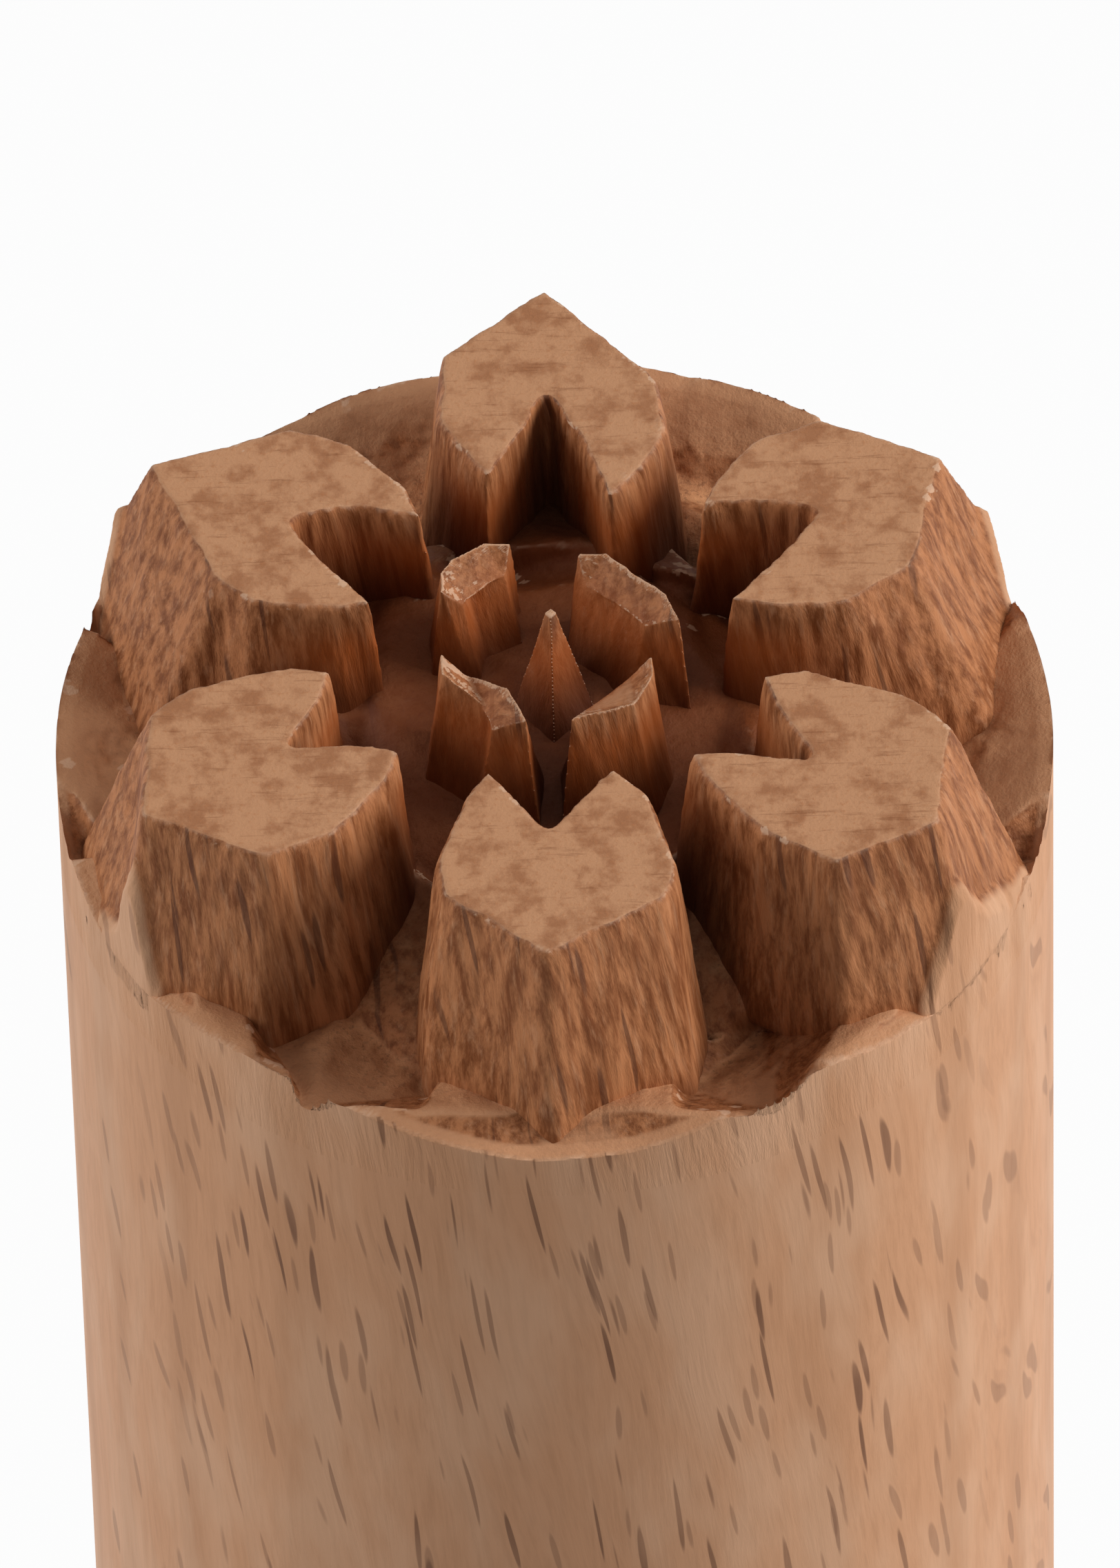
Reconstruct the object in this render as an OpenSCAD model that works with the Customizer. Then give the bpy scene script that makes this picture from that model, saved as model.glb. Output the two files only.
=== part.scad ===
// Clay stamp: a beech dowel with a six-petalled flower carved into one end.
// It stands on its plain end. The origin is the middle of that end, +Z runs up
// the dowel to the printing face, and one petal points to the front, along -Y.
// Depths are measured down from the printing face. A petal or bud is drawn
// along +X (outwards), with +Y to its left, and then turned to its bearing.

/* [Dowel] */
// Diameter of the beech dowel
dowel_d = 25; // [23:0.5:40]
// Height from the plain end to the printing face
stamp_h = 75; // [50:1:120]
// Width of the eased edge round the plain end
end_ease = 0.8; // [0.3:0.1:2]

/* [Carved ground] */
// Depth of the flat ground round the buds
core_depth = 3.2; // [2:0.1:3.6]
// Radius of that flat ground
core_r = 5; // [4:0.1:6.5]
// Depth of the trench that runs round below the middle of the petals
trench_depth = 5.7; // [4.6:0.1:6.5]
// Radius of the trench's bottom
trench_r = 9.5; // [8:0.1:10.5]
// Depth of the ground at the dowel's side, between two petals
rim_depth = 4.4; // [4:0.1:5.6]
// Lean of the ground in degrees, deeper at the front
ground_lean = 3.4; // [0:0.1:5]
// Extra depth, at the dowel's side, of the cut that ends the front petal's tip
toe_cut_depth = 1.1; // [0.3:0.1:2]
// Slope of such a cut in degrees
toe_cut_slope = 38; // [25:1:50]
// Sound wood left under the deepest cut, down to where the plain shank starts
head_floor = 1.2; // [0.5:0.1:3]
// How far the side of the carved head is sanded in at the printing face
head_ease = 0.1; // [0.05:0.05:0.3]

/* [Petals] */
// Turn of the whole flower on the dowel in degrees, to the left from above
flower_turn = -2; // [-30:0.5:30]
// Distance from the dowel's side in to a petal's tip, at the printing face
tip_setback = 1.2; // [0.9:0.1:2.5]
// Ledge left between the dowel's side and the foot of a petal's tip
toe_ledge = 0.25; // [0.1:0.05:0.4]
// Distance from a petal's tip back to its two shoulders
shoulder_back = 2; // [1.5:0.1:3]
// Width across a petal's shoulders, as a share of its full width
shoulder_share = 0.93; // [0.8:0.01:1]
// Full width of a petal
petal_w = 6; // [4.5:0.1:6.4]
// Distance from the stamp's axis to the widest part of a petal
belly_r = 7.4; // [7:0.1:7.9]
// Distance from the stamp's axis to the ends of a petal's two lobes
lobe_r = 4.8; // [4.4:0.1:5.2]
// Distance between the ends of the two lobes
lobe_gap = 3.1; // [2.4:0.1:3.6]
// Length of a lobe's cheek, from the lobe's end outwards
cheek_run = 0.9; // [0.5:0.1:1.2]
// Width across the cheeks, as a share of the petal's full width
cheek_share = 0.77; // [0.7:0.01:0.9]
// Distance from the stamp's axis to the blind end of the notch between lobes
notch_r = 7.7; // [7:0.1:8.5]
// Width of the notch half way along
notch_w = 1.5; // [1:0.1:1.8]
// Slope of the carved walls in degrees, wider towards the ground
wall_flare = 6; // [2:0.5:8]
// Width of wood that the parting tool clears between two petals' feet
parting_w = 0.3; // [0.2:0.1:0.8]

/* [Buds] */
// Clear width between the lobes and the buds, at the printing face
bud_gap = 1.9; // [1.6:0.1:2.4]
// Thickness of a bud's ridge
bud_t = 0.75; // [0.6:0.05:1]
// Length of a bud's ridge
bud_w = 2.9; // [2:0.1:3.4]
// Slope of a bud's walls in degrees, wider towards the ground
bud_flare = 20; // [10:1:22]
// Depth of the nick cut into a bud's wall
bud_nick = 0.4; // [0.1:0.05:0.45]
// Distance from the printing face down to the top of a bud
bud_drop = 0.3; // [0:0.1:0.8]

/* [Centre pip] */
// Half width of the pip's foot
pip_foot_r = 1.35; // [0.8:0.05:1.6]
// Half width of the pip's blunt point
pip_point_r = 0.14; // [0.08:0.02:0.3]
// Distance that the pip's point leans to the back
pip_lean = 0.55; // [0:0.05:0.7]

/* [Hidden] */
$fn = 96;

// Beech shades: the sanded shank, the cut ground, the printed end grain
shank_shade = "#d9b08c";
ground_shade = "#9a5f3a";
petal_shade = "#c08a5e";
bud_shade = "#b5714a";

dowel_r = dowel_d / 2;
petal_count = 6;
bud_count = 4;

// The head is the carved length: it ends below the trench and the deepest toe cut
head_h = max(trench_at(-90), toe_depth(-90)) + head_floor;
shank_h = stamp_h - head_h;
// Thickness of the skin that is left whole at the dowel's side, round the seats
rim_skin_t = toe_ledge * 0.8;
// A petal's seat, and the first draft of a bud or the pip, is this far below the ground
root_in = head_floor / 2;

// Hand-cut differences of each petal from the shape given above, from the back
// petal round to its left: bearing in degrees, tip, foot of the tip, blind end of
// the notch, then for its left side and its right side: lobe, belly, shoulder,
// half width, half width of the notch, and how far its outer wall leans out
PETAL_CUTS = [
    [ 1.8,  0.1, 0.0,  0.2, [ 0.1, -0.4, -0.1, -0.2, 0.0, 0.0], [-0.7, -1.0, -1.1,  0.0, 0.0, 0.0]],
    [ 2.5,  0.2, 1.7, -0.2, [-0.6, -0.5, -1.3, -0.1, 0.0, 1.7], [-0.3,  0.0, -0.4,  0.0, 0.4, 0.3]],
    [ 3.0,  0.7, 0.8,  0.2, [ 0.6,  0.9,  0.8,  0.1, 0.0, 0.0], [ 0.6,  1.2,  0.8,  0.0, 0.0, 1.4]],
    [ 0.5, -0.2, 0.0, -0.6, [ 0.1,  0.8, -0.1,  0.2, 0.0, 0.0], [ 0.2,  0.6, -0.1, -0.2, 0.0, 0.0]],
    [-5.0,  0.5, 0.9,  0.4, [ 0.5,  1.2,  0.9,  0.1, 0.0, 1.3], [ 0.5,  1.0,  1.2, -0.3, 0.0, 0.0]],
    [ 0.0, -0.1, 1.7,  0.0, [ 0.3,  0.0, -0.1, -0.1, 0.3, 0.3], [-0.6, -0.9, -0.6,  0.1, 0.0, 1.7]]
];

// Hand-cut differences of each bud, from the back right one round to its left:
// bearing in degrees, reach, left half length, right half length, place of the
// nick along the ridge, and how deep it is in the outer and in the inner wall as
// a share of a bud's nick, where less than 0 is a spur that was left standing
BUD_CUTS = [
    [ 3.0, -0.1, -0.2,  0.7, -0.2,  0.1,  0.2],
    [-1.0,  0.4, -0.3, -0.2,  0.2, -0.4,  1.0],
    [-2.0,  0.1,  0.4, -0.2,  0.7,  1.0, -0.3],
    [ 2.0,  0.0, -0.4,  0.4, -0.4, -0.9,  0.1]
];

function petal_bearing(k) =
    90 + flower_turn + k * 360 / petal_count + PETAL_CUTS[(k + petal_count) % petal_count][0];
function bud_bearing(k) = 45 + flower_turn + k * 360 / bud_count + BUD_CUTS[k][0];

// Depths at a bearing: the trench, the ground at the dowel's side, and there a
// tip's toe cut, which is full at the front and a fifth of that at the back
function trench_at(bearing) = trench_depth - trench_r * sin(ground_lean) * sin(bearing);
function rim_at(bearing) = rim_depth - dowel_r * sin(ground_lean) * sin(bearing);
function toe_depth(bearing) = rim_at(bearing) + toe_cut_depth * (0.6 - 0.4 * sin(bearing));

function petal_root(k) =
    let (bearing = petal_bearing(k))
    max(trench_at(bearing), toe_depth(bearing)) + root_in;
bud_root = core_depth + root_in;

// How far a wall of that slope runs out from the top of a form down to its root
function wall_run(slope, top_depth, root_depth) = (root_depth - top_depth) * tan(slope);

// Corners along one side of a petal, from its shoulder in to its lobe. Run is
// how far the walls have spread at the level that is drawn, and lean is how far
// the outer wall has
function petal_side(cut, run, lean) =
    let (half = petal_w / 2 + cut[3] + run, lobe = lobe_r + cut[0] - run)
    [
        [
            dowel_r - tip_setback - shoulder_back + cut[2] + run + lean * 0.6,
            half * shoulder_share + lean * 0.8
        ],
        [belly_r + cut[1], half + lean * 0.2],
        [lobe + cheek_run, half * cheek_share],
        [lobe, lobe_gap / 2]
    ];

// Corners of a petal, from its tip round by the left. Foot is 0 at the printing
// face and 1 at the root, where the outer walls have their full lean
function petal_outline(k, tip, run, foot) =
    let (
        left = petal_side(PETAL_CUTS[k][4], run, foot * PETAL_CUTS[k][4][5]),
        right = petal_side(PETAL_CUTS[k][5], run, foot * PETAL_CUTS[k][5][5]),
        notch_end = notch_r + PETAL_CUTS[k][3] - run / 2,
        notch_mid = (notch_end + lobe_r) / 2,
        notch_half = notch_w / 2 - run / 3
    )
    [
        [tip, 0],
        each left,
        [notch_mid, notch_half + PETAL_CUTS[k][4][4]],
        [notch_end, 0],
        [notch_mid, -notch_half - PETAL_CUTS[k][5][4]],
        for (i = [len(right) - 1 : -1 : 0]) [right[i][0], -right[i][1]]
    ];

// Corners of a bud's ridge, from its right end round by the left
function bud_outline(k, run) =
    let (
        cut = BUD_CUTS[k],
        outer = lobe_r - bud_gap + cut[1],
        left = bud_w / 2 + cut[2],
        right = -bud_w / 2 - cut[3],
        nick = cut[4],
        outer_wall = outer + run * 0.6,
        inner_wall = outer - bud_t - run * 0.8
    )
    [
        [outer - bud_t * 0.6, right - run * 0.4],
        [outer_wall, right * 0.6],
        [outer_wall - cut[5] * bud_nick, nick],
        [outer_wall, left * 0.6],
        [outer - bud_t * 0.6, left + run * 0.4],
        [inner_wall, left * 0.6],
        [inner_wall + cut[6] * bud_nick, nick],
        [inner_wall, right * 0.6]
    ];

// Four corners of the pip, a half width from its middle and shifted to the back
function pip_outline(half, shift) = [
    [half, shift], [0, half + shift], [-half, shift], [0, -half + shift]
];

// Wood between rings of as many points each, from the top or inner ring downwards
module faceted(rings) {
    n = len(rings[0]);
    last = n * (len(rings) - 1);
    walls = [
        for (ring = [0 : n : last - n])
            for (i = [0 : n - 1])
                let (a = ring + i, b = ring + (i + 1) % n)
                each [[a, b, b + n], [a, b + n, a + n]]
    ];
    polyhedron(
        points = [for (ring = rings) each ring],
        faces = concat([[for (i = [n - 1 : -1 : 0]) i]], walls, [[for (i = [0 : n - 1]) last + i]])
    );
}

// A form left standing by the carver: flat top, straight walls down to its root
module raised_form(top, root, top_depth, root_depth) {
    faceted([
        [for (p = top) [p[0], p[1], stamp_h - top_depth]],
        [for (p = root) [p[0], p[1], stamp_h - root_depth]]
    ]);
}

// All wood below the ground that the carver cut round the flower in flat strokes,
// one below each petal and one in each gap: level round the buds, down to the
// trench, and up again to the dowel's side
module wood_below_ground() {
    strokes = 2 * petal_count;
    half_stroke = 180 / strokes;
    rise = (trench_depth - rim_depth) / (dowel_r - trench_r);
    beyond = dowel_d;
    translate([0, 0, stamp_h])
        rotate([ground_lean, 0, 0])
            faceted([
                for (ring = [
                    [core_r, core_depth],
                    [trench_r, trench_depth],
                    [beyond, rim_depth - rise * (beyond - dowel_r)],
                    [beyond, head_h + beyond]
                ])
                    [
                        for (i = [0 : strokes - 1])
                            let (
                                bearing = 90 + flower_turn + (2 * i + 1) * half_stroke,
                                corner_r = ring[0] / cos(half_stroke)
                            )
                            [corner_r * cos(bearing), corner_r * sin(bearing), -ring[1]]
                    ]
            ]);
}

// The flat slanting cut at the dowel's side below a petal's tip
module toe_cut(k) {
    bearing = petal_bearing(k);
    rotate([0, 0, bearing])
        translate([dowel_r, 0, stamp_h - toe_depth(bearing)])
            rotate([0, toe_cut_slope, 0])
                translate([-dowel_r, -dowel_r, 0])
                    cube([dowel_d, dowel_d, dowel_r]);
}

module head_blank() {
    translate([0, 0, shank_h])
        cylinder(h = head_h, r1 = dowel_r, r2 = dowel_r - head_ease);
}

module shank() {
    color(shank_shade)
        rotate_extrude()
            polygon([
                [0, 0],
                [dowel_r - end_ease, 0],
                [dowel_r, end_ease],
                [dowel_r, shank_h],
                [0, shank_h]
            ]);
}

// The head with the ground and the toe cuts made, running on below the petals
module cut_head() {
    difference() {
        intersection() {
            head_blank();
            wood_below_ground();
        }
        for (k = [0 : petal_count - 1])
            toe_cut(k);
    }
}

// The skin of the head at the dowel's side, which no seat breaks through
module rim_skin() {
    difference() {
        cut_head();
        translate([0, 0, shank_h - 1])
            cylinder(h = head_h + 2, r = dowel_r - rim_skin_t);
    }
}

// The head round the petals, each of which stands in a level seat below its foot
module carved_ground() {
    color(ground_shade)
        difference() {
            cut_head();
            for (k = [0 : petal_count - 1])
                petal(k);
        }
}

// The sector that a petal may fill, up to the parting cuts on both sides of it
module petal_sector(k) {
    left = (petal_bearing(k + 1) - petal_bearing(k)) / 2;
    right = (petal_bearing(k) - petal_bearing(k - 1)) / 2;
    reach = dowel_d;
    translate([parting_w, 0, shank_h])
        linear_extrude(head_h + 1)
            polygon([
                [0, 0],
                [reach * cos(right), -reach * sin(right)],
                [reach * 2, 0],
                [reach * cos(left), reach * sin(left)]
            ]);
}

module petal(k) {
    top = petal_outline(k, dowel_r - tip_setback + PETAL_CUTS[k][1], 0, 0);
    root = petal_outline(
        k, dowel_r - toe_ledge + PETAL_CUTS[k][2], wall_run(wall_flare, 0, petal_root(k)), 1
    );
    color(petal_shade)
        difference() {
            intersection() {
                head_blank();
                rotate([0, 0, petal_bearing(k)])
                    intersection() {
                        petal_sector(k);
                        raised_form(top, root, 0, petal_root(k));
                    }
            }
            rim_skin();
        }
}

module bud(k) {
    top = bud_outline(k, 0);
    root = bud_outline(k, wall_run(bud_flare, bud_drop, bud_root));
    color(bud_shade)
        difference() {
            rotate([0, 0, bud_bearing(k)])
                raised_form(top, root, bud_drop, bud_root);
            cut_head();
        }
}

module centre_pip() {
    top = pip_outline(pip_point_r, pip_lean);
    root = pip_outline(pip_foot_r, 0);
    color(bud_shade)
        difference() {
            raised_form(top, root, bud_drop, bud_root);
            cut_head();
        }
}

module petal_back() { petal(0); }
module petal_back_left() { petal(1); }
module petal_front_left() { petal(2); }
module petal_front() { petal(3); }
module petal_front_right() { petal(4); }
module petal_back_right() { petal(5); }
module bud_back_right() { bud(0); }
module bud_back_left() { bud(1); }
module bud_front_left() { bud(2); }
module bud_front_right() { bud(3); }

shank();
carved_ground();
petal_back();
petal_back_left();
petal_front_left();
petal_front();
petal_front_right();
petal_back_right();
bud_back_right();
bud_back_left();
bud_front_left();
bud_front_right();
centre_pip();
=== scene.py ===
"""Clay stamp: a beech dowel with a six-petalled flower carved into its upper end.

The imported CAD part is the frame. Each operator dresses one piece, or a group of
like pieces, with the carver's and the wood's finish. Sizes are in metres.
"""

import math
from types import SimpleNamespace

import bpy
from mathutils import Matrix, Vector


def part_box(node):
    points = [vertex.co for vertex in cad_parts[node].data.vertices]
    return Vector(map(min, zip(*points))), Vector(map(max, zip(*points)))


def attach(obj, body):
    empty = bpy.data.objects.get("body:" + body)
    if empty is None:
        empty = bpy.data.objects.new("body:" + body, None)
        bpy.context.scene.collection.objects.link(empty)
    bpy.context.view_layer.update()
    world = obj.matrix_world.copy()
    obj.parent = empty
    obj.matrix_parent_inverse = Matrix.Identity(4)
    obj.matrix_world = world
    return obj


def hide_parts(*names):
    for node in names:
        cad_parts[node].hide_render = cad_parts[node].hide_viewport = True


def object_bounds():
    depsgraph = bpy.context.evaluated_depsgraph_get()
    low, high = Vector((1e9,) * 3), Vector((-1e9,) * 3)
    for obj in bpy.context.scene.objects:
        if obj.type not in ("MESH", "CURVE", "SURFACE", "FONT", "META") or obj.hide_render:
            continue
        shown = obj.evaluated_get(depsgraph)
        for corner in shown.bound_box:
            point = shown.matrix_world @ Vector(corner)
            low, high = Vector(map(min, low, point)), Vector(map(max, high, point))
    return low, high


bl_info = {
    "name": "Clay Stamp",
    "version": (1, 0, 0),
    "blender": (4, 5, 0),
    "location": "3D View > Sidebar > Clay Stamp",
    "description": "A hand-carved beech stamp for soft clay",
    "category": "Object",
}

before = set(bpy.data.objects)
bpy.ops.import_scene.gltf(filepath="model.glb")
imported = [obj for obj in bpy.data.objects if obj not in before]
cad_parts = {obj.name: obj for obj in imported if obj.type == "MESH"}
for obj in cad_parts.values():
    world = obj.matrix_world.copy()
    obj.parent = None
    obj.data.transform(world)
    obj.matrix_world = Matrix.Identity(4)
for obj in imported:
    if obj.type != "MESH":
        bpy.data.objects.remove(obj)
CAD_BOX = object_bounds()
SHANK_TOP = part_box("shank")[1]

PETALS = (
    "petal_back", "petal_back_left", "petal_front_left",
    "petal_front", "petal_front_right", "petal_back_right",
)
BUDS = ("bud_back_right", "bud_back_left", "bud_front_left", "bud_front_right")

# The two ways in which a hand strays, each with its own place in the noise
HAND = (("X", (0, 0, 0)), ("Y", (0.031, 0.017, 0)))


def srgb(text):
    """The linear colour of a hex colour such as c89b7d."""
    channels = [int(text[i:i + 2], 16) / 255 for i in (0, 2, 4)]
    return [c / 12.92 if c <= 0.04045 else ((c + 0.055) / 1.055) ** 2.4 for c in channels]


# Settings

def length(name, description, default):
    """A length setting, in metres."""
    return bpy.props.FloatProperty(
        name=name, description=description, default=default, unit="LENGTH",
        subtype="DISTANCE", precision=5)


def colour(name, description, text):
    """A colour setting, from a hex colour."""
    return bpy.props.FloatVectorProperty(
        name=name, description=description, default=srgb(text), size=3,
        subtype="COLOR", min=0, max=1)


class ClayStampSizes(bpy.types.PropertyGroup):
    dowel_r: length("Dowel radius", "Radius of the beech dowel", SHANK_TOP.x)
    shank_h: length("Shank height", "Height of the plain shank", SHANK_TOP.z)
    stamp_h: length("Stamp height", "Height of the printing face", CAD_BOX[1].z)
    end_ease: length("Eased edge", "Rounding of the plain end's edge", 0.0008)
    root_in: length("Root", "How far a bud reaches into the ground", 0.0006)
    seat_in: length("Seat margin", "How far the ground runs on below a petal", 0.0003)
    trim: length("Trim", "Wood below the ground, cut level again", 0.001)
    side_skin: length("Skin", "Depth of the middle of the skin round the seats", 0.00015)
    side_band: length("Side band", "What lies this near the dowel's round belongs to it", 0.00035)
    side_fade: length("Side fade", "Change from a cut to the dowel's round", 0.00015)


class ClayStampCuts(bpy.types.PropertyGroup):
    ground_grain: length("Ground fineness", "Fineness of the carved ground", 0.0001)
    petal_grain: length("Petal fineness", "Fineness of the petals", 0.00008)
    bud_grain: length("Bud fineness", "Fineness of the buds and the pip", 0.00004)
    wobble: length("Wobble", "Unevenness of a cut made by hand", 0.00016)
    flute: length("Flutes", "Depth of the gouge's upright marks", 0.00007)
    scallop: length("Scallops", "Depth of the gouge's marks in the ground", 0.0003)
    scallop_edge: length("Scallops' edge", "The marks are shallow this near the side", 0.0003)
    scallop_fade: length("Scallops' fade", "They reach their depth over this distance", 0.002)
    grain_slope: bpy.props.FloatProperty(
        name="Grain slope", description="How far the grain runs out to the side, per height",
        default=0.12)


class ClayStampColours(bpy.types.PropertyGroup):
    sanded: colour("Sanded beech", "The plain shank", "ce9871")
    sanded_dark: colour("Sanded beech, dark ring", "Late wood on the shank", "b5825c")
    ray: colour("Ray fleck", "The short dark flecks of beech", "6e452b")
    end_grain: colour("Printed end grain", "The petals' tops", "ce976f")
    end_grain_dark: colour("Printed end grain, dark", "Mottling of the tops", "a36a45")
    # the real pale blotches of the sanded side, and also a painted highlight on the cuts' sharp
    # upward-facing edges
    pale_blotch_and_highlight: colour("Arris", "Pale blotches, and the painted highlight on the cuts' edges", "e8c0a0")
    wall: colour("Knife-cut wall", "Upright walls of the cuts", "bb7b4f")
    wall_dark: colour("Knife-cut wall, dark", "Dark fibres of the walls", "7a431f")
    ground: colour("Gouged ground", "The cut ground", "d6996b")
    ground_dark: colour("Gouged ground, dark", "Mottling of the ground", "9f643c")
    # painted shade: a warm colour painted in the deep cuts round the buds, standing in for their
    # shade and bounce light
    recess_shade: colour("Recess shade", "The deep cuts round the buds", "a8541f")
    # painted shade in the cuts' closest corners, and also the real dark pores and ray flecks of the
    # wood
    dark_fleck_and_shade: colour("Crevice", "The darkest corners of the cuts", "3c170a")


# Modelling helpers

def only(obj):
    """Selects one object alone and makes it active."""
    bpy.ops.object.select_all(action="DESELECT")
    obj.select_set(True)
    bpy.context.view_layer.objects.active = obj


def faces_where(obj, test):
    """Selects, in object mode, the faces for which the test holds."""
    for part in (obj.data.vertices, obj.data.edges, obj.data.polygons):
        part.foreach_set("select", [False] * len(part))
    for face in obj.data.polygons:
        face.select = test(face)


def copy_of(node, name):
    """A merged copy of a CAD node's mesh, as a new object."""
    piece = bpy.data.objects.new(name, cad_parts[node].data.copy())
    piece.data.name = name
    piece.data.materials.clear()
    bpy.context.collection.objects.link(piece)
    only(piece)
    bpy.ops.object.mode_set(mode="EDIT")
    bpy.ops.mesh.select_all(action="SELECT")
    bpy.ops.mesh.remove_doubles(threshold=1e-6)
    bpy.ops.object.mode_set(mode="OBJECT")
    return piece


def narrow_seats(ground, sizes):
    """Moves the seats' walls inwards, so that the ground runs on below the petals."""
    steepest_ground = 0.3
    skin = sizes.dowel_r - sizes.side_skin
    floor = sizes.shank_h + 0.0001
    ways = {}
    for face in ground.data.polygons:
        is_wall = face.normal.z < steepest_ground and face.center.z > floor
        if is_wall and face.center.xy.length < skin:
            for index in face.vertices:
                ways[index] = ways.get(index, Vector((0, 0))) + face.normal.xy * face.area
    for index, way in ways.items():
        ground.data.vertices[index].co.xy += way.normalized() * sizes.seat_in


def lower_underside(piece, distance):
    """Moves the faces that look down by a distance further down."""
    faces_where(piece, lambda face: face.normal.z < -0.5)
    bpy.ops.object.mode_set(mode="EDIT")
    bpy.ops.transform.translate(value=(0, 0, -distance))
    bpy.ops.object.mode_set(mode="OBJECT")


def apply(piece, kind, name, **settings):
    """Adds a modifier, sets it and applies it."""
    modifier = piece.modifiers.new(name, kind)
    for key, value in settings.items():
        setattr(modifier, key, value)
    only(piece)
    bpy.ops.object.modifier_apply(modifier=modifier.name)


def fine_mesh(piece, fineness, softening, rounding=0):
    """An even mesh for cut marks, its edges and its outline softened by so many passes."""
    apply(piece, "REMESH", "even mesh", mode="VOXEL", voxel_size=fineness, adaptivity=0)
    apply(piece, "SMOOTH", "softened", factor=0.5, iterations=softening)
    if rounding:
        apply(piece, "SMOOTH", "rounded outline", factor=0.5, iterations=rounding, use_z=False)


def weigh(piece, name, weight_at):
    """A vertex group whose weight a function gives from a vertex."""
    group = piece.vertex_groups.new(name=name)
    levels = {}
    for vertex in piece.data.vertices:
        weight = round(max(0.0, min(1.0, weight_at(vertex))), 2)
        levels.setdefault(weight, []).append(vertex.index)
    for weight, indices in levels.items():
        group.add(indices, weight, "REPLACE")
    return name


def uneven(piece, name, depth, size, axis, stretch=1.0, group="", kind="CLOUDS", shift=(0, 0, 0)):
    """Moves a mesh along an axis by a noise of that size in mm, stretched up the grain."""
    bpy.ops.object.empty_add(location=shift)
    guide = bpy.context.object
    guide.scale = (0.001, 0.001, 0.001 * stretch)
    bpy.context.view_layer.update()
    texture = bpy.data.textures.new(name, kind)
    texture.noise_scale = size
    if kind == "CLOUDS":
        texture.noise_depth = 2
    apply(piece, "DISPLACE", name, texture=texture, texture_coords="OBJECT",
          texture_coords_object=guide, direction=axis, strength=depth, mid_level=0.5,
          vertex_group=group)
    bpy.data.objects.remove(guide)
    bpy.data.textures.remove(texture)


def straighten_side(piece, sizes):
    """Puts the vertices of the dowel's side back on the dowel's own round."""
    start = sizes.dowel_r - sizes.side_band
    weigh(piece, "side", lambda vertex: (vertex.co.xy.length - start) / sizes.side_fade)
    apply(piece, "CAST", "straight side", cast_type="CYLINDER", factor=1, use_z=False,
          use_radius_as_size=False, size=sizes.dowel_r, vertex_group="side")


def finished(piece, material, node):
    """Smooths the shading, gives the finish and puts the piece in its node's place."""
    piece.vertex_groups.clear()
    piece.data.materials.clear()
    piece.data.materials.append(material)
    only(piece)
    bpy.ops.object.shade_smooth_by_angle(angle=math.radians(40))
    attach(piece, "root")
    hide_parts(node)


# Material helpers

def add_node(tree, kind, settings=None, inputs=None):
    """A shader node with its settings, and its sockets set or linked."""
    node = tree.nodes.new("ShaderNode" + kind)
    for key, value in (settings or {}).items():
        setattr(node, key, value)
    for key, value in (inputs or {}).items():
        if isinstance(value, bpy.types.NodeSocket):
            tree.links.new(value, node.inputs[key])
        else:
            node.inputs[key].default_value = value
    return node


def maths(tree, operation, a, b=0.0):
    """The result of one operation on two numbers or sockets."""
    return add_node(tree, "Math", {"operation": operation}, {0: a, 1: b}).outputs[0]


def ease(tree, value, low, high, start=0.0, end=1.0):
    """Start below low, end above high, and a smooth change between."""
    node = add_node(
        tree, "MapRange", {"interpolation_type": "SMOOTHSTEP"},
        {"Value": value, "From Min": low, "From Max": high, "To Min": start, "To Max": end})
    return node.outputs[0]


def mix(tree, factor, a, b):
    """Colour or number a, turning into b as the factor grows to 1."""
    return add_node(tree, "Mix", {"data_type": "RGBA"}, {0: factor, 6: a, 7: b}).outputs[2]


def rgba(value):
    """A colour setting as a socket takes it."""
    return (*value, 1.0)


def stretched(tree, place, scale, move=(0, 0, 0)):
    """A place in mm, scaled along each axis."""
    return add_node(
        tree, "Mapping", {}, {"Vector": place, "Scale": scale, "Location": move}).outputs[0]


def noise(tree, place, scale, detail=3.0, rough=0.5):
    """A cloudy pattern from 0 to 1."""
    return add_node(tree, "TexNoise", {}, {
        "Vector": place, "Scale": scale, "Detail": detail, "Roughness": rough}).outputs[0]


def ray_plates(tree, place, width, height, share, move=(0, 0, 0)):
    """Beech's rays: thin upright plates that run from front to back through the wood."""
    spacing = 2.6
    depth = 30.0
    cell = (1 / (width * spacing), 1 / depth, 1 / (height * spacing))
    cells = add_node(tree, "TexVoronoi", {"distance": "EUCLIDEAN"}, {
        "Vector": stretched(tree, place, cell, move), "Scale": 1.0})
    chosen = add_node(tree, "SeparateColor", {}, {0: cells.outputs["Color"]}).outputs[0]
    near = ease(tree, cells.outputs["Distance"], 0.19, 0.27, 1.0, 0.0)
    return maths(tree, "MULTIPLY", near, maths(tree, "LESS_THAN", chosen, share))


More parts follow.
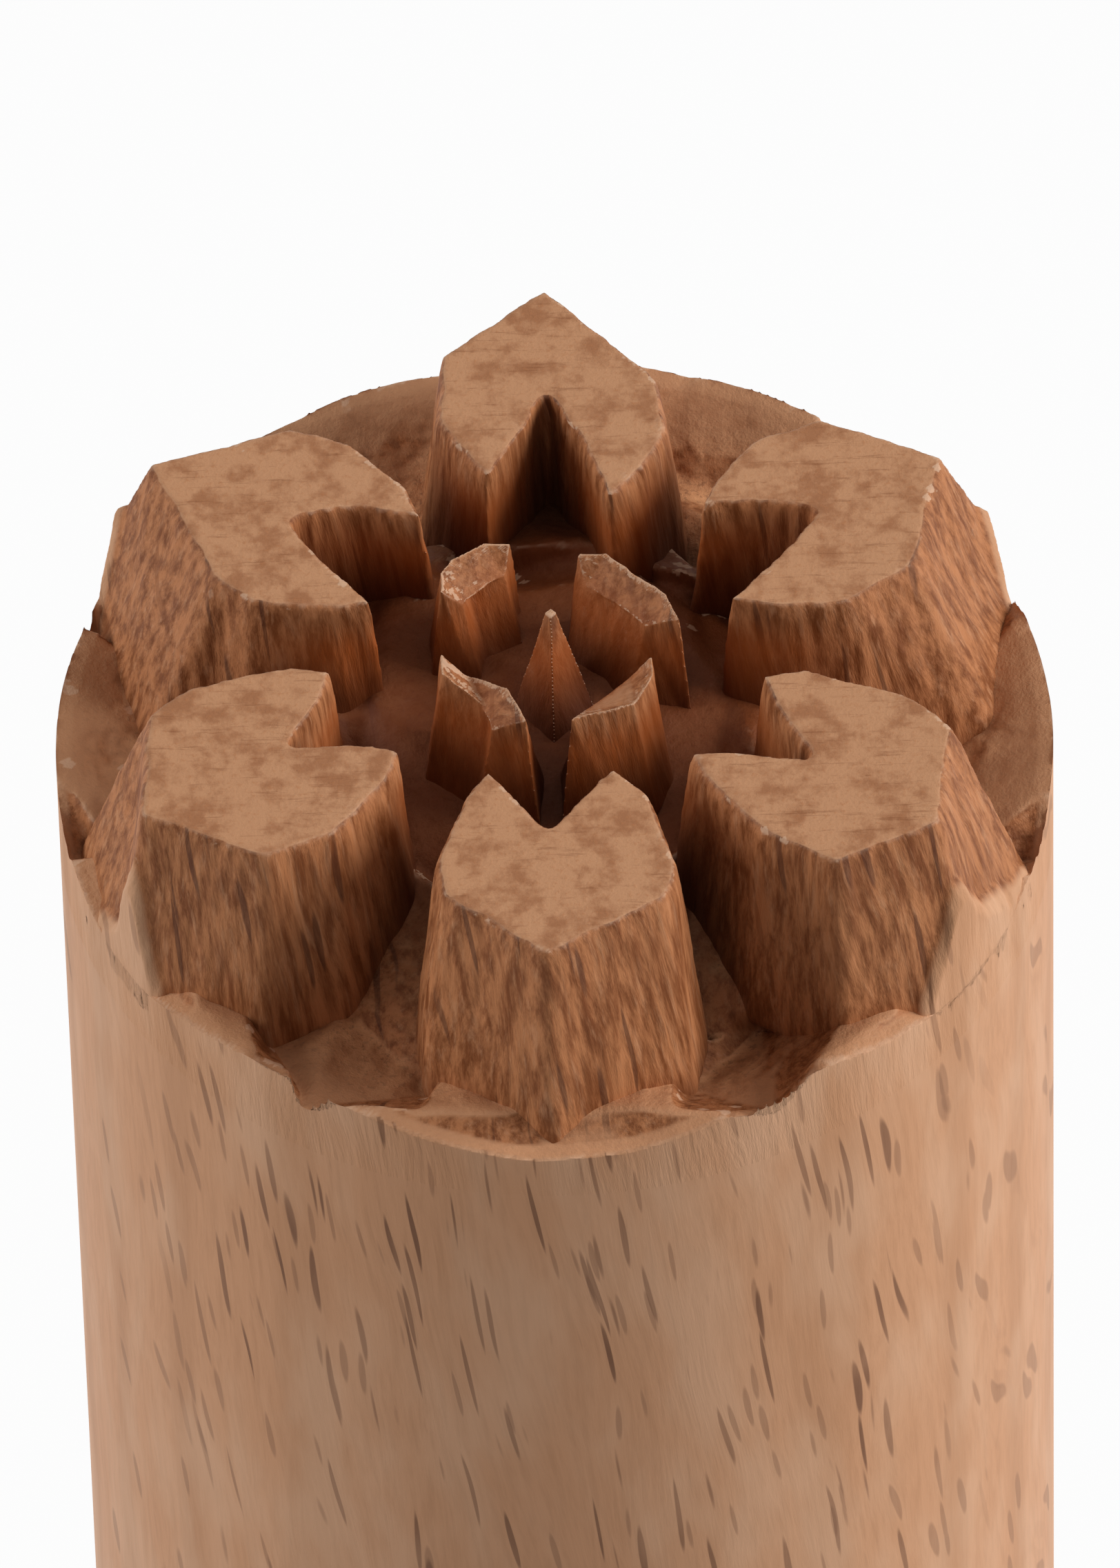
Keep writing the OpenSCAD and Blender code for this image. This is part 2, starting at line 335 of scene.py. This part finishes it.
def solid_wood(tree):
    """Beech's places, in mm, and the patterns that run through the solid wood."""
    slope = bpy.context.scene.clay_stamp_cuts.grain_slope
    metres = add_node(tree, "TexCoord").outputs["Object"]
    mm = stretched(tree, metres, (1000, 1000, 1000))
    x, y, z = add_node(tree, "SeparateXYZ", {}, {0: mm}).outputs
    grain_x = maths(tree, "ADD", x, maths(tree, "MULTIPLY", z, slope))
    straight = add_node(tree, "CombineXYZ", {}, {0: grain_x, 1: y, 2: z}).outputs[0]
    sway = add_node(tree, "TexNoise", {}, {
        "Vector": stretched(tree, straight, (0.35, 0.35, 0.09)), "Scale": 1.0, "Detail": 2.0})
    drift = add_node(
        tree, "VectorMath", {"operation": "SCALE"}, {0: sway.outputs["Color"], 3: 1.2})
    grain = add_node(
        tree, "VectorMath", {"operation": "ADD"}, {0: straight, 1: drift.outputs[0]}).outputs[0]

    normal = add_node(tree, "NewGeometry").outputs["Normal"]
    across, _, up = add_node(tree, "SeparateXYZ", {}, {0: normal}).outputs

    # fewer strong rays show at the dowel's left and right, where the plates lie flat
    rays = maths(tree, "MAXIMUM", ray_plates(tree, grain, 0.14, 1.9, 0.45),
                 ray_plates(tree, grain, 0.11, 2.4, 0.45, (5.9, 4.1, 2.6)))
    sideways = maths(tree, "ABSOLUTE", across)
    return SimpleNamespace(
        x=x, y=y, z=z, mm=mm, grain=grain, up=up,
        level=ease(tree, maths(tree, "ABSOLUTE", up), 0.80, 0.93),
        fibres=noise(tree, stretched(tree, grain, (5.0, 5.0, 0.35)), 1.0, 4.0, 0.65),
        blotches=noise(tree, stretched(tree, grain, (0.5, 0.5, 0.16)), 1.0, 3.0),
        pores=noise(tree, mm, 7.0, 2.0, 0.7),
        strong=maths(tree, "MULTIPLY", rays, ease(tree, sideways, 0.6, 0.9, 1.0, 0.08)),
        faint=ray_plates(tree, grain, 0.13, 1.3, 0.7, (3.7, 1.3, 8.1)))


def sanded_side(tree, wood, tones):
    """The dowel's sanded side: rings, fibres, pale blotches and two sorts of ray flecks."""
    rings = add_node(tree, "TexWave", {"wave_type": "BANDS", "bands_direction": "Y"}, {
        "Vector": wood.grain, "Scale": 0.11, "Distortion": 1.6, "Detail": 2.0, "Detail Scale": 0.4})
    strength = ease(tree, wood.blotches, 0.35, 0.6, 0.9, 0.55)
    shade = mix(tree, ease(tree, rings.outputs[1], 0.55, 1.0, 0.0, 0.45),
                rgba(tones.sanded), rgba(tones.sanded_dark))
    for factor, tone in (
        (ease(tree, wood.fibres, 0.38, 0.72, 0.0, 0.4), tones.sanded_dark),
        (ease(tree, wood.blotches, 0.4, 0.7, 0.0, 0.3), tones.pale_blotch_and_highlight),
        (maths(tree, "MULTIPLY", wood.faint, 0.38), tones.ray),
        (maths(tree, "MULTIPLY", wood.strong, strength), tones.ray),
    ):
        shade = mix(tree, factor, shade, rgba(tone))
    return shade


def end_grain(tree, wood, tones):
    """Wood cut across: mottling, pores and the knife's fine scratches."""
    mottle = noise(tree, wood.mm, 1.3, 4.0, 0.6)
    scratches = noise(tree, stretched(tree, wood.mm, (0.7, 7.0, 0.7)), 1.0, 4.0, 0.7)
    shade = mix(tree, ease(tree, mottle, 0.42, 0.66, 0.0, 0.8),
                rgba(tones.end_grain), rgba(tones.end_grain_dark))
    shade = mix(tree, ease(tree, wood.pores, 0.52, 0.75, 0.0, 0.5), shade, rgba(tones.wall))
    return mix(tree, ease(tree, scratches, 0.56, 0.7, 0.0, 0.4), shade, rgba(tones.wall_dark))


def cut_wall(tree, wood, tones, streaks):
    """An upright wall of a cut: long dark fibres and flecks."""
    shade = rgba(tones.wall)
    for factor, tone in (
        (ease(tree, streaks, 0.36, 0.66), tones.wall_dark),
        (ease(tree, wood.fibres, 0.5, 0.75, 0.0, 0.5), tones.end_grain),
        (maths(tree, "MULTIPLY", wood.strong, 0.6), tones.dark_fleck_and_shade),
        (maths(tree, "MULTIPLY", wood.faint, 0.4), tones.wall_dark),
    ):
        shade = mix(tree, factor, shade, rgba(tone))
    return shade


def gouged_ground(tree, wood, tones, from_axis, rim):
    """The ground, gouged across the grain: redder, with painted light making it paler towards the
    dowel's side, where it lies open.
    """
    mottle = noise(tree, wood.mm, 0.9, 6.0, 0.65)
    shade = rgba(tones.ground)
    for factor, tone in (
        (ease(tree, mottle, 0.38, 0.66), tones.ground_dark),
        (ease(tree, wood.pores, 0.5, 0.72, 0.0, 0.45), tones.dark_fleck_and_shade),
        # painted light: paler towards the dowel's side, where the ground lies open, and so painted
        # shade darker in among the petals
        (ease(tree, from_axis, rim - 3.5, rim - 0.5, 0.0, 0.85), tones.end_grain),
    ):
        shade = mix(tree, factor, shade, rgba(tone))
    return shade


def painted_cut_shade(tree, shade, tones, from_axis, depth, rim):
    """Painted shade in the cuts: warm painted shade and bounce light round the buds, and near black
    painted shade in the closest corners.
    """
    heart = 5.0
    # painted shade and bounce light: the deeper the cut near the centre, the more of the warm
    # recess colour
    inner = maths(tree, "MULTIPLY", ease(tree, from_axis, heart, heart + 3.0, 1.0, 0.0),
                  ease(tree, depth, 0.25, 1.6))
    open_share = add_node(
        tree, "AmbientOcclusion", {"samples": 8}, {"Distance": 0.0025}).outputs["AO"]
    # painted shade: where the ambient occlusion finds little open space, the colour turns near
    # black, less so near the dowel's side
    occluded_shade = maths(tree, "MULTIPLY", ease(tree, open_share, 0.1, 0.62, 0.8, 0.0),
                 ease(tree, from_axis, rim - 4.5, rim - 1.5, 1.0, 0.2))
    # painted shade: deeper still in the recess round the buds, the colour turns near black
    deep_shade = maths(tree, "MULTIPLY", inner, ease(tree, depth, 1.4, 3.3, 0.0, 0.55))
    shade = mix(tree, maths(tree, "MULTIPLY", inner, 0.75), shade, rgba(tones.recess_shade))
    shade = mix(tree, occluded_shade, shade, rgba(tones.dark_fleck_and_shade))
    return mix(tree, deep_shade, shade, rgba(tones.dark_fleck_and_shade))


def carved_surface(tree, wood, tones, sanded, end):
    """The colour and the relief of wood that was cut by hand, with painted shade in its cuts and a
    painted highlight on its edges.
    """
    sizes = bpy.context.scene.clay_stamp_sizes
    rim = 1000 * sizes.dowel_r
    depth = maths(tree, "SUBTRACT", 1000 * sizes.stamp_h, wood.z)
    flat_place = add_node(tree, "CombineXYZ", {}, {0: wood.x, 1: wood.y}).outputs[0]
    from_axis = add_node(
        tree, "VectorMath", {"operation": "LENGTH"}, {0: flat_place}).outputs[1]
    streaks = noise(tree, stretched(tree, wood.grain, (3.2, 3.2, 0.28)), 1.0, 5.0, 0.7)

    # the printing face is end grain, and what lies level below it is ground
    ground = gouged_ground(tree, wood, tones, from_axis, rim)
    flat = mix(tree, ease(tree, depth, 1.6, 2.6), end, ground)
    shade = mix(tree, wood.level, cut_wall(tree, wood, tones, streaks), flat)
    # painted shade in the cuts' corners and round the buds
    shade = painted_cut_shade(tree, shade, tones, from_axis, depth, rim)

    # painted highlight: the sharp edges of the cuts that face up are painted pale, as if catching
    # the light
    sharp = add_node(tree, "NewGeometry").outputs["Pointiness"]
    edge_highlight = maths(tree, "MULTIPLY", ease(tree, sharp, 0.515, 0.57, 0.0, 0.6),
                   ease(tree, wood.up, 0.3, 0.5))
    shade = mix(tree, edge_highlight, shade, rgba(tones.pale_blotch_and_highlight))

    # the dowel's own side, above the shank, is sanded as the shank is
    upright = maths(tree, "SUBTRACT", 1.0, wood.level)
    side = maths(tree, "MULTIPLY", ease(tree, from_axis, rim - 0.3, rim - 0.12), upright)
    shade = mix(tree, side, shade, sanded)
    rough_wall = maths(tree, "ADD", maths(tree, "MULTIPLY", streaks, 1.6), wood.fibres)
    return shade, mix(tree, wood.level, rough_wall, wood.pores)


def beech(name, carved):
    """Beech: the solid wood's own figure, and the finish of its sanded or carved surface."""
    tones = bpy.context.scene.clay_stamp_colours
    material = bpy.data.materials.new(name)
    material.use_nodes = True
    tree = material.node_tree
    tree.nodes.clear()

    wood = solid_wood(tree)
    sanded = sanded_side(tree, wood, tones)
    end = end_grain(tree, wood, tones)
    if carved:
        shade, relief = carved_surface(tree, wood, tones, sanded, end)
        relief_depth = 0.00005
        roughness = 0.62
    else:
        shade = mix(tree, wood.level, sanded, end)
        relief = mix(tree, wood.level, wood.fibres, wood.pores)
        relief_depth = 0.00002
        roughness = 0.55

    bump = add_node(tree, "Bump", {}, {
        "Strength": 0.6, "Distance": relief_depth, "Height": relief})
    surface = add_node(tree, "BsdfPrincipled", {}, {
        "Base Color": shade, "Roughness": roughness, "Specular IOR Level": 0.25,
        "Normal": bump.outputs[0]})
    output = add_node(tree, "OutputMaterial")
    tree.links.new(surface.outputs[0], output.inputs[0])
    return material


def finish_of(name, carved):
    """The finish of that name, made when it is first asked for."""
    return bpy.data.materials.get(name) or beech(name, carved)


# The pieces

class CLAYSTAMP_OT_shank(bpy.types.Operator):
    """Turn the plain shank of the dowel, with its plain end eased"""
    bl_idname = "clay_stamp.shank"
    bl_label = "Plain shank"

    def execute(self, context):
        sizes = context.scene.clay_stamp_sizes
        bpy.ops.object.select_all(action="DESELECT")
        bpy.ops.mesh.primitive_cylinder_add(
            vertices=256, radius=sizes.dowel_r, depth=sizes.shank_h,
            location=(0, 0, sizes.shank_h / 2))
        shank = context.object
        shank.name = shank.data.name = "plain_shank"
        bpy.ops.object.transform_apply(location=True, rotation=True, scale=True)
        faces_where(shank, lambda face: face.normal.z < -0.9)
        bpy.ops.object.mode_set(mode="EDIT")
        bpy.ops.mesh.select_mode(type="EDGE")
        bpy.ops.mesh.region_to_loop()
        bpy.ops.mesh.bevel(offset=sizes.end_ease, segments=5, profile=0.5, affect="EDGES")
        bpy.ops.object.mode_set(mode="OBJECT")
        # sanded end grain and side grain of the dowel as it was bought
        finished(shank, finish_of("sanded beech", False), "shank")
        return {"FINISHED"}


class CLAYSTAMP_OT_ground(bpy.types.Operator):
    """Carve the ground round the flower, with the gouge's scalloped strokes"""
    bl_idname = "clay_stamp.ground"
    bl_label = "Carved ground"

    def execute(self, context):
        sizes = context.scene.clay_stamp_sizes
        cuts = context.scene.clay_stamp_cuts
        ground = copy_of("carved_ground", "gouged_ground")
        narrow_seats(ground, sizes)
        lower_underside(ground, sizes.trim)
        fine_mesh(ground, cuts.ground_grain, softening=10)

        def depth_of_cut(vertex):
            """None on walls, full on level ground, and less near the dowel's side."""
            from_side = sizes.dowel_r - cuts.scallop_edge - vertex.co.xy.length
            inside = max(0.3, min(1.0, from_side / cuts.scallop_fade))
            return (vertex.normal.z - 0.3) * 2.5 * inside

        cut = weigh(ground, "cut", depth_of_cut)
        uneven(ground, "gouge strokes", cuts.scallop, size=1.9, axis="Z", group=cut, kind="VORONOI")
        uneven(ground, "torn grain", cuts.scallop * 0.25, size=0.4, axis="Z", group=cut)
        straighten_side(ground, sizes)
        only(ground)
        bpy.ops.object.mode_set(mode="EDIT")
        bpy.ops.mesh.select_all(action="SELECT")
        bpy.ops.mesh.bisect(plane_co=(0, 0, sizes.shank_h), plane_no=(0, 0, 1),
                            use_fill=True, clear_inner=True, threshold=1e-6)
        bpy.ops.object.mode_set(mode="OBJECT")
        finished(ground, finish_of("gouged beech", True), "carved_ground")
        return {"FINISHED"}


class CLAYSTAMP_OT_petals(bpy.types.Operator):
    """Cut the six petals, their walls fluted by the gouge"""
    bl_idname = "clay_stamp.petals"
    bl_label = "Petals"

    def execute(self, context):
        sizes = context.scene.clay_stamp_sizes
        cuts = context.scene.clay_stamp_cuts
        for node in PETALS:
            petal = copy_of(node, "cut_" + node)
            fine_mesh(petal, cuts.petal_grain, softening=3, rounding=70)
            for axis, shift in HAND:
                uneven(petal, "hand wobble", cuts.wobble, 1.1, axis, stretch=4.0, shift=shift)
                uneven(petal, "flutes", cuts.flute, 0.3, axis, stretch=9.0, shift=shift)
            straighten_side(petal, sizes)
            finished(petal, finish_of("knifed beech", True), node)
        return {"FINISHED"}


class CLAYSTAMP_OT_buds(bpy.types.Operator):
    """Cut the four nicked buds round the centre"""
    bl_idname = "clay_stamp.buds"
    bl_label = "Buds"

    def execute(self, context):
        sizes = context.scene.clay_stamp_sizes
        cuts = context.scene.clay_stamp_cuts
        for node in BUDS:
            bud = copy_of(node, "cut_" + node)
            lower_underside(bud, sizes.root_in)
            fine_mesh(bud, cuts.bud_grain, softening=3)
            for axis, shift in HAND:
                uneven(bud, "hand wobble", cuts.wobble * 0.7, 0.7, axis, stretch=3.0, shift=shift)
            finished(bud, finish_of("knifed beech", True), node)
        return {"FINISHED"}


class CLAYSTAMP_OT_pip(bpy.types.Operator):
    """Cut the faceted pip in the middle"""
    bl_idname = "clay_stamp.pip"
    bl_label = "Centre pip"

    def execute(self, context):
        sizes = context.scene.clay_stamp_sizes
        cuts = context.scene.clay_stamp_cuts
        pip = copy_of("centre_pip", "cut_centre_pip")
        lower_underside(pip, sizes.root_in)
        fine_mesh(pip, cuts.bud_grain, softening=1)
        uneven(pip, "hand wobble", cuts.wobble * 0.6, 0.6, "X", stretch=3.0)
        finished(pip, finish_of("knifed beech", True), "centre_pip")
        return {"FINISHED"}


# The stage

class ClayStampStage(bpy.types.PropertyGroup):
    elevation: bpy.props.FloatProperty(
        name="Camera height", description="Angle of the camera above the table",
        default=math.radians(48), subtype="ANGLE")
    roll: bpy.props.FloatProperty(
        name="Camera roll", description="Turn of the picture about its middle",
        default=math.radians(-1.43), subtype="ANGLE")
    distance: length("Camera distance", "From the camera to the printing face", 0.56)
    aside: length("Camera aside", "How far the picture's middle is right of the face's", 0.000215)
    below: length("Camera below", "How far the picture's middle is below the face's", 0.004072)
    lens: bpy.props.FloatProperty(
        name="Lens", description="Focal length for a 36 mm sensor", default=722.5)
    key: bpy.props.FloatProperty(
        name="Key light", description="Power of the lamp on the right in watts", default=4.1)
    fill: bpy.props.FloatProperty(
        name="Fill light", description="Power of the lamp on the left in watts", default=2.25)
    world: bpy.props.FloatProperty(
        name="Room light", description="Strength of the even light from all round", default=0.2)


def seen_as_white(tree, share):
    """That share for the camera and in reflections, and nothing for all other rays."""
    rays = add_node(tree, "LightPath")
    seen = maths(tree, "MAXIMUM", rays.outputs["Is Camera Ray"], maths(
        tree, "MAXIMUM", rays.outputs["Is Glossy Ray"], rays.outputs["Is Transmission Ray"]))
    return maths(tree, "MULTIPLY", seen, share)


class CLAYSTAMP_OT_stage(bpy.types.Operator):
    """Set the floor, the soft lamps and the camera"""
    bl_idname = "clay_stamp.stage"
    bl_label = "Stage"

    def execute(self, context):
        stage = context.scene.clay_stamp_stage
        sizes = context.scene.clay_stamp_sizes
        scene = context.scene

        bpy.ops.object.select_all(action="DESELECT")
        bpy.ops.mesh.primitive_plane_add(size=6.0, location=(0, 0, 0))
        floor = context.object
        floor.name = "white table"
        paper = bpy.data.materials.new("white paper")
        paper.use_nodes = True
        tree = paper.node_tree
        tree.nodes.clear()
        lit = add_node(tree, "BsdfDiffuse", {}, {"Color": (0.55, 0.55, 0.55, 1)})
        white = add_node(tree, "Emission", {}, {"Color": (1, 1, 1, 1), "Strength": 1.0})
        share = seen_as_white(tree, 0.96)
        both = add_node(tree, "MixShader", {}, {0: share, 1: lit.outputs[0], 2: white.outputs[0]})
        output = add_node(tree, "OutputMaterial")
        tree.links.new(both.outputs[0], output.inputs[0])
        floor.data.materials.append(paper)

        world = bpy.data.worlds.new("even room light")
        scene.world = world
        world.use_nodes = True
        tree = world.node_tree
        tree.nodes.clear()
        room = add_node(tree, "Background", {}, {"Color": (1, 1, 1, 1), "Strength": stage.world})
        white = add_node(tree, "Background", {}, {"Color": (1, 1, 1, 1), "Strength": 1.0})
        share = seen_as_white(tree, 1.0)
        both = add_node(tree, "MixShader", {}, {0: share, 1: room.outputs[0], 2: white.outputs[0]})
        output = add_node(tree, "OutputWorld")
        tree.links.new(both.outputs[0], output.inputs[0])

        target = Vector((0, 0, sizes.stamp_h))
        for name, place, power, size in (
            ("soft lamp on the right", (0.60, -0.05, 0.35), stage.key, 0.4),
            ("soft lamp on the left", (-0.60, 0.0, 0.30), stage.fill, 0.4),
        ):
            bpy.ops.object.light_add(type="AREA", location=place)
            lamp = context.object
            lamp.name = name
            lamp.data.energy = power
            lamp.data.size = size
            lamp.rotation_euler = (Vector(place) - target).to_track_quat("Z", "Y").to_euler()

        back = Vector((0, -math.cos(stage.elevation), math.sin(stage.elevation)))
        up = Vector((0, math.sin(stage.elevation), math.cos(stage.elevation)))
        side = Vector((1, 0, 0))
        right = side * math.cos(stage.roll) + up * math.sin(stage.roll)
        above = up * math.cos(stage.roll) - side * math.sin(stage.roll)
        place = target + back * stage.distance + right * stage.aside - above * stage.below
        bpy.ops.object.camera_add(location=place)
        camera = context.object
        camera.name = "photo camera"
        turn = Matrix((right, above, back)).transposed()
        camera.rotation_euler = turn.to_euler()
        camera.data.sensor_fit = "HORIZONTAL"
        camera.data.sensor_width = 36
        camera.data.lens = stage.lens
        camera.data.clip_start = 0.01
        camera.data.clip_end = 20
        scene.camera = camera
        scene.view_settings.view_transform = "Standard"
        return {"FINISHED"}


# Panel and registering

class CLAYSTAMP_PT_panel(bpy.types.Panel):
    """Sizes, finishes and pieces of the clay stamp"""
    bl_idname = "CLAYSTAMP_PT_panel"
    bl_label = "Clay Stamp"
    bl_space_type = "VIEW_3D"
    bl_region_type = "UI"
    bl_category = "Clay Stamp"

    def draw(self, context):
        for group in GROUPS:
            box = self.layout.box()
            for key in GROUPS[group].__annotations__:
                box.prop(getattr(context.scene, group), key)
        for operator in OPERATORS:
            self.layout.operator(operator.bl_idname)


GROUPS = {
    "clay_stamp_sizes": ClayStampSizes,
    "clay_stamp_cuts": ClayStampCuts,
    "clay_stamp_colours": ClayStampColours,
    "clay_stamp_stage": ClayStampStage,
}
OPERATORS = (
    CLAYSTAMP_OT_shank, CLAYSTAMP_OT_ground, CLAYSTAMP_OT_petals,
    CLAYSTAMP_OT_buds, CLAYSTAMP_OT_pip, CLAYSTAMP_OT_stage,
)


def register():
    for group, kind in GROUPS.items():
        bpy.utils.register_class(kind)
        setattr(bpy.types.Scene, group, bpy.props.PointerProperty(type=kind))
    for kind in (*OPERATORS, CLAYSTAMP_PT_panel):
        bpy.utils.register_class(kind)


def unregister():
    for kind in reversed((*OPERATORS, CLAYSTAMP_PT_panel)):
        bpy.utils.unregister_class(kind)
    for group, kind in GROUPS.items():
        delattr(bpy.types.Scene, group)
        bpy.utils.unregister_class(kind)


def main():
    """Makes every piece and the stage."""
    register()
    bpy.ops.clay_stamp.shank()
    bpy.ops.clay_stamp.ground()
    bpy.ops.clay_stamp.petals()
    bpy.ops.clay_stamp.buds()
    bpy.ops.clay_stamp.pip()
    bpy.ops.clay_stamp.stage()


if __name__ == "__main__":
    main()
